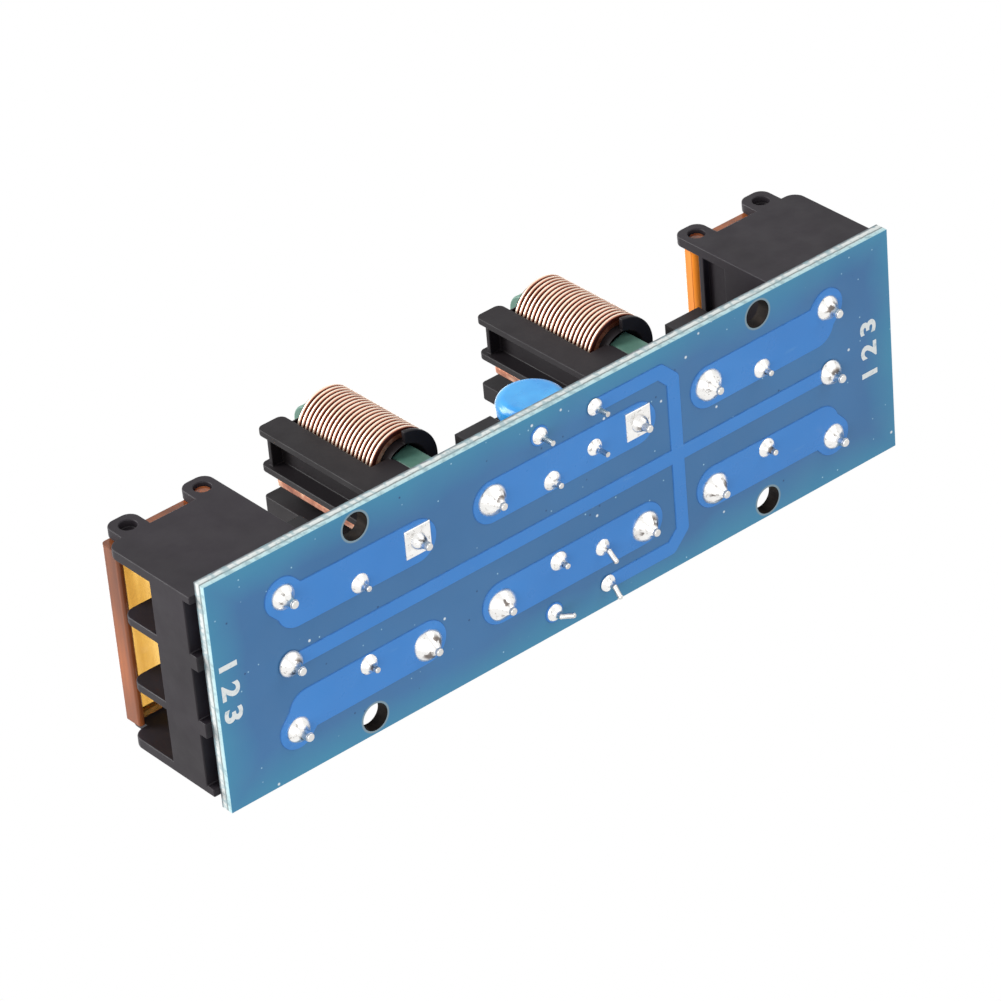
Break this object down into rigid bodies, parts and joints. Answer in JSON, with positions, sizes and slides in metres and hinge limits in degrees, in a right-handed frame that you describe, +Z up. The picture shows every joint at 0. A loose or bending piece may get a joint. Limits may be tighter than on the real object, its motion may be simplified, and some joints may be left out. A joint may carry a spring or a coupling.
{
  "type": "emi line filter board",
  "caption": "Open mains interference filter board with edge-wound copper chokes, suppression capacitors and hinged-cover screw terminals at both ends.",
  "frame": {"origin": "centre of the four-hole mounting pattern on the solder face of the board", "axes": "+X from the supply terminals to the load terminals, +Y across the board, +Z up through the component side"},
  "size_m": [0.0946, 0.0274, 0.029],
  "materials": {
    "board": "satin",
    "track": "satin",
    "solder": "satin",
    "black_moulding": "satin",
    "amber_cover": "gloss",
    "contact": "satin",
    "steel": "satin",
    "ferrite": "satin",
    "copper": "gloss",
    "lead": "satin",
    "box_capacitor": "satin",
    "disc_capacitor": "gloss",
    "resistor": "gloss"
  },
  "bodies": {
    "filter_board": {"circuit_board": "board", "copper_tracks": "track", "solder_joints": "solder", "line_terminal_housing": "black_moulding", "line_contact_1": "contact", "line_contact_2": "contact", "line_contact_3": "contact", "load_terminal_housing": "black_moulding", "load_contact_1": "contact", "load_contact_2": "contact", "load_contact_3": "contact", "line_choke_base": "black_moulding", "line_choke_bobbin": "black_moulding", "line_choke_lower_core": "ferrite", "line_choke_upper_core": "ferrite", "line_choke_coil_a": "copper", "line_choke_coil_b": "copper", "load_choke_base": "black_moulding", "load_choke_bobbin": "black_moulding", "load_choke_lower_core": "ferrite", "load_choke_upper_core": "ferrite", "load_choke_coil_a": "copper", "load_choke_coil_b": "copper", "input_x_capacitor": "box_capacitor", "input_x_capacitor_leads": "lead", "middle_x_capacitor": "box_capacitor", "middle_x_capacitor_leads": "lead", "output_x_capacitor": "box_capacitor", "output_x_capacitor_leads": "lead", "y_capacitor_a": "disc_capacitor", "y_capacitor_a_leads": "lead", "y_capacitor_b": "disc_capacitor", "y_capacitor_b_leads": "lead", "bleed_resistor": "resistor", "bleed_resistor_leads": "lead"},
    "line_cover": {"line_terminal_cover": "amber_cover"},
    "line_clamp_1": {"line_terminal_screw_1": "steel", "line_clamp_washer_1": "steel"},
    "line_clamp_2": {"line_terminal_screw_2": "steel", "line_clamp_washer_2": "steel"},
    "line_clamp_3": {"line_terminal_screw_3": "steel", "line_clamp_washer_3": "steel"},
    "load_cover": {"load_terminal_cover": "amber_cover"},
    "load_clamp_1": {"load_terminal_screw_1": "steel", "load_clamp_washer_1": "steel"},
    "load_clamp_2": {"load_terminal_screw_2": "steel", "load_clamp_washer_2": "steel"},
    "load_clamp_3": {"load_terminal_screw_3": "steel", "load_clamp_washer_3": "steel"}
  },
  "joints": [
    {"name": "line_cover_hinge", "type": "hinge", "parent": "filter_board", "child": "line_cover", "pos_m": [-0.03395, 0, 0.0166], "axis": [0, 1, 0], "range_deg": [0, 120]},
    {"name": "load_cover_hinge", "type": "hinge", "parent": "filter_board", "child": "load_cover", "pos_m": [0.03395, 0, 0.0166], "axis": [0, -1, 0], "range_deg": [0, 120]},
    {"name": "line_clamp_1_travel", "type": "slide", "parent": "filter_board", "child": "line_clamp_1", "axis": [0, 0, 1], "range_m": [0, 0.0025]},
    {"name": "line_clamp_2_travel", "type": "slide", "parent": "filter_board", "child": "line_clamp_2", "axis": [0, 0, 1], "range_m": [0, 0.0025]},
    {"name": "line_clamp_3_travel", "type": "slide", "parent": "filter_board", "child": "line_clamp_3", "axis": [0, 0, 1], "range_m": [0, 0.0025]},
    {"name": "load_clamp_1_travel", "type": "slide", "parent": "filter_board", "child": "load_clamp_1", "axis": [0, 0, 1], "range_m": [0, 0.0025]},
    {"name": "load_clamp_2_travel", "type": "slide", "parent": "filter_board", "child": "load_clamp_2", "axis": [0, 0, 1], "range_m": [0, 0.0025]},
    {"name": "load_clamp_3_travel", "type": "slide", "parent": "filter_board", "child": "load_clamp_3", "axis": [0, 0, 1], "range_m": [0, 0.0025]}
  ]
}
